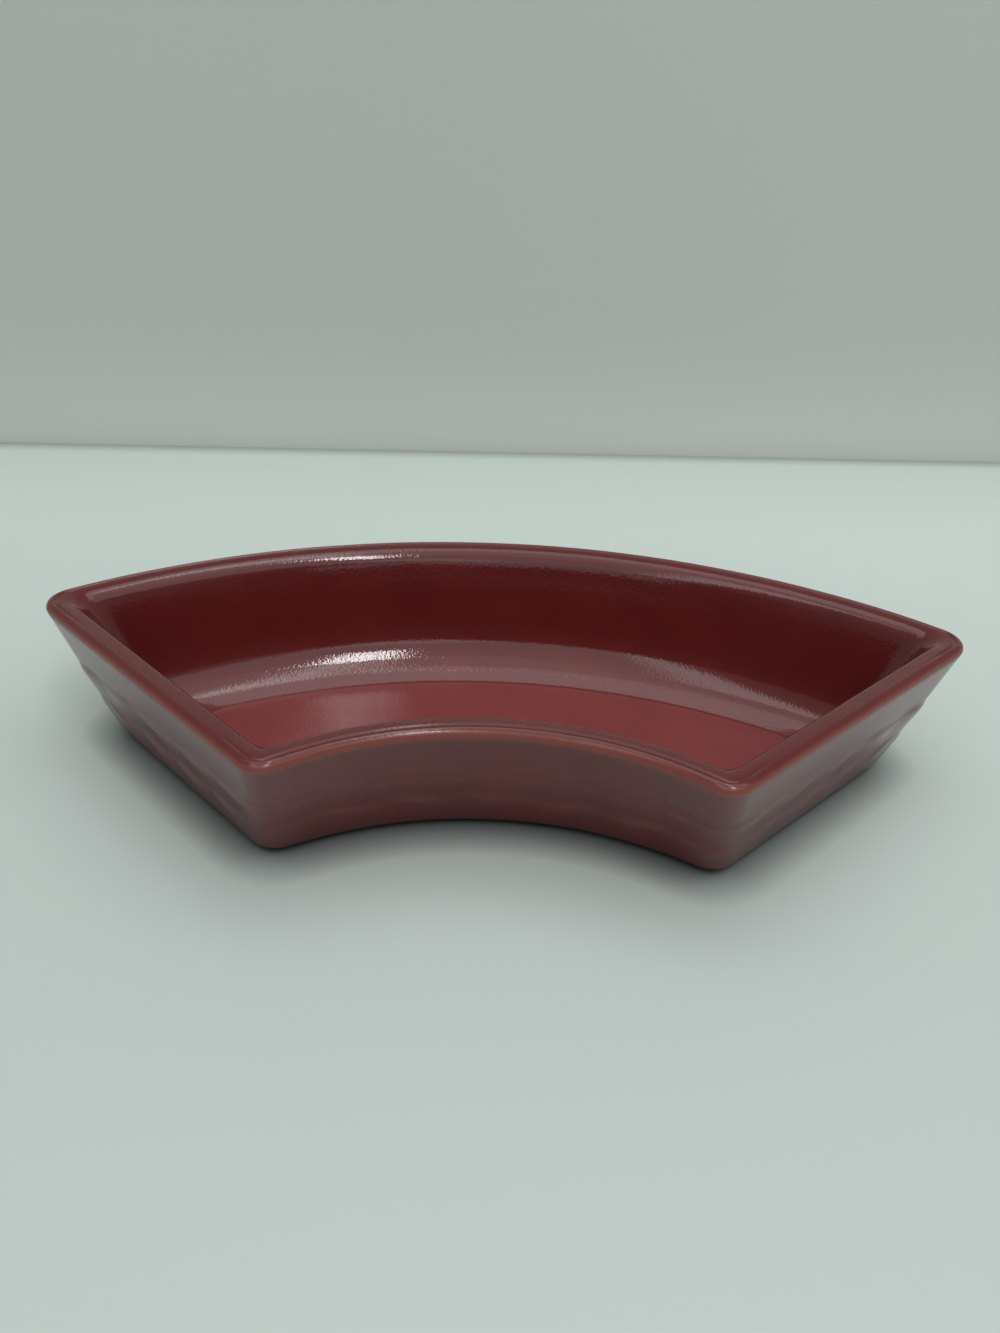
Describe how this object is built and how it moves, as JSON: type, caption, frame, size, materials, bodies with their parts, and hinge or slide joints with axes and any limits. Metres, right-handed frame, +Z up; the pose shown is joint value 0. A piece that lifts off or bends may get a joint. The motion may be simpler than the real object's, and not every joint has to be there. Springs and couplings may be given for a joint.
{
  "type": "crescent relish dish",
  "caption": "Crescent serving dish in glazed stoneware: an open flared well with a rolled rim, soft basket-weave relief and a flat foot ring; nests against a round centre bowl.",
  "frame": {"origin": "middle of the dish's bounding box, on the plane that the foot ring stands on", "axes": "+X along the chord, the longest way; +Y towards the big outer arc; +Z up out of the well"},
  "size_m": [0.2864, 0.1478, 0.046],
  "materials": {
    "red_glaze": "high gloss"
  },
  "bodies": {
    "root": {"dish": "red_glaze"}
  },
  "joints": []
}
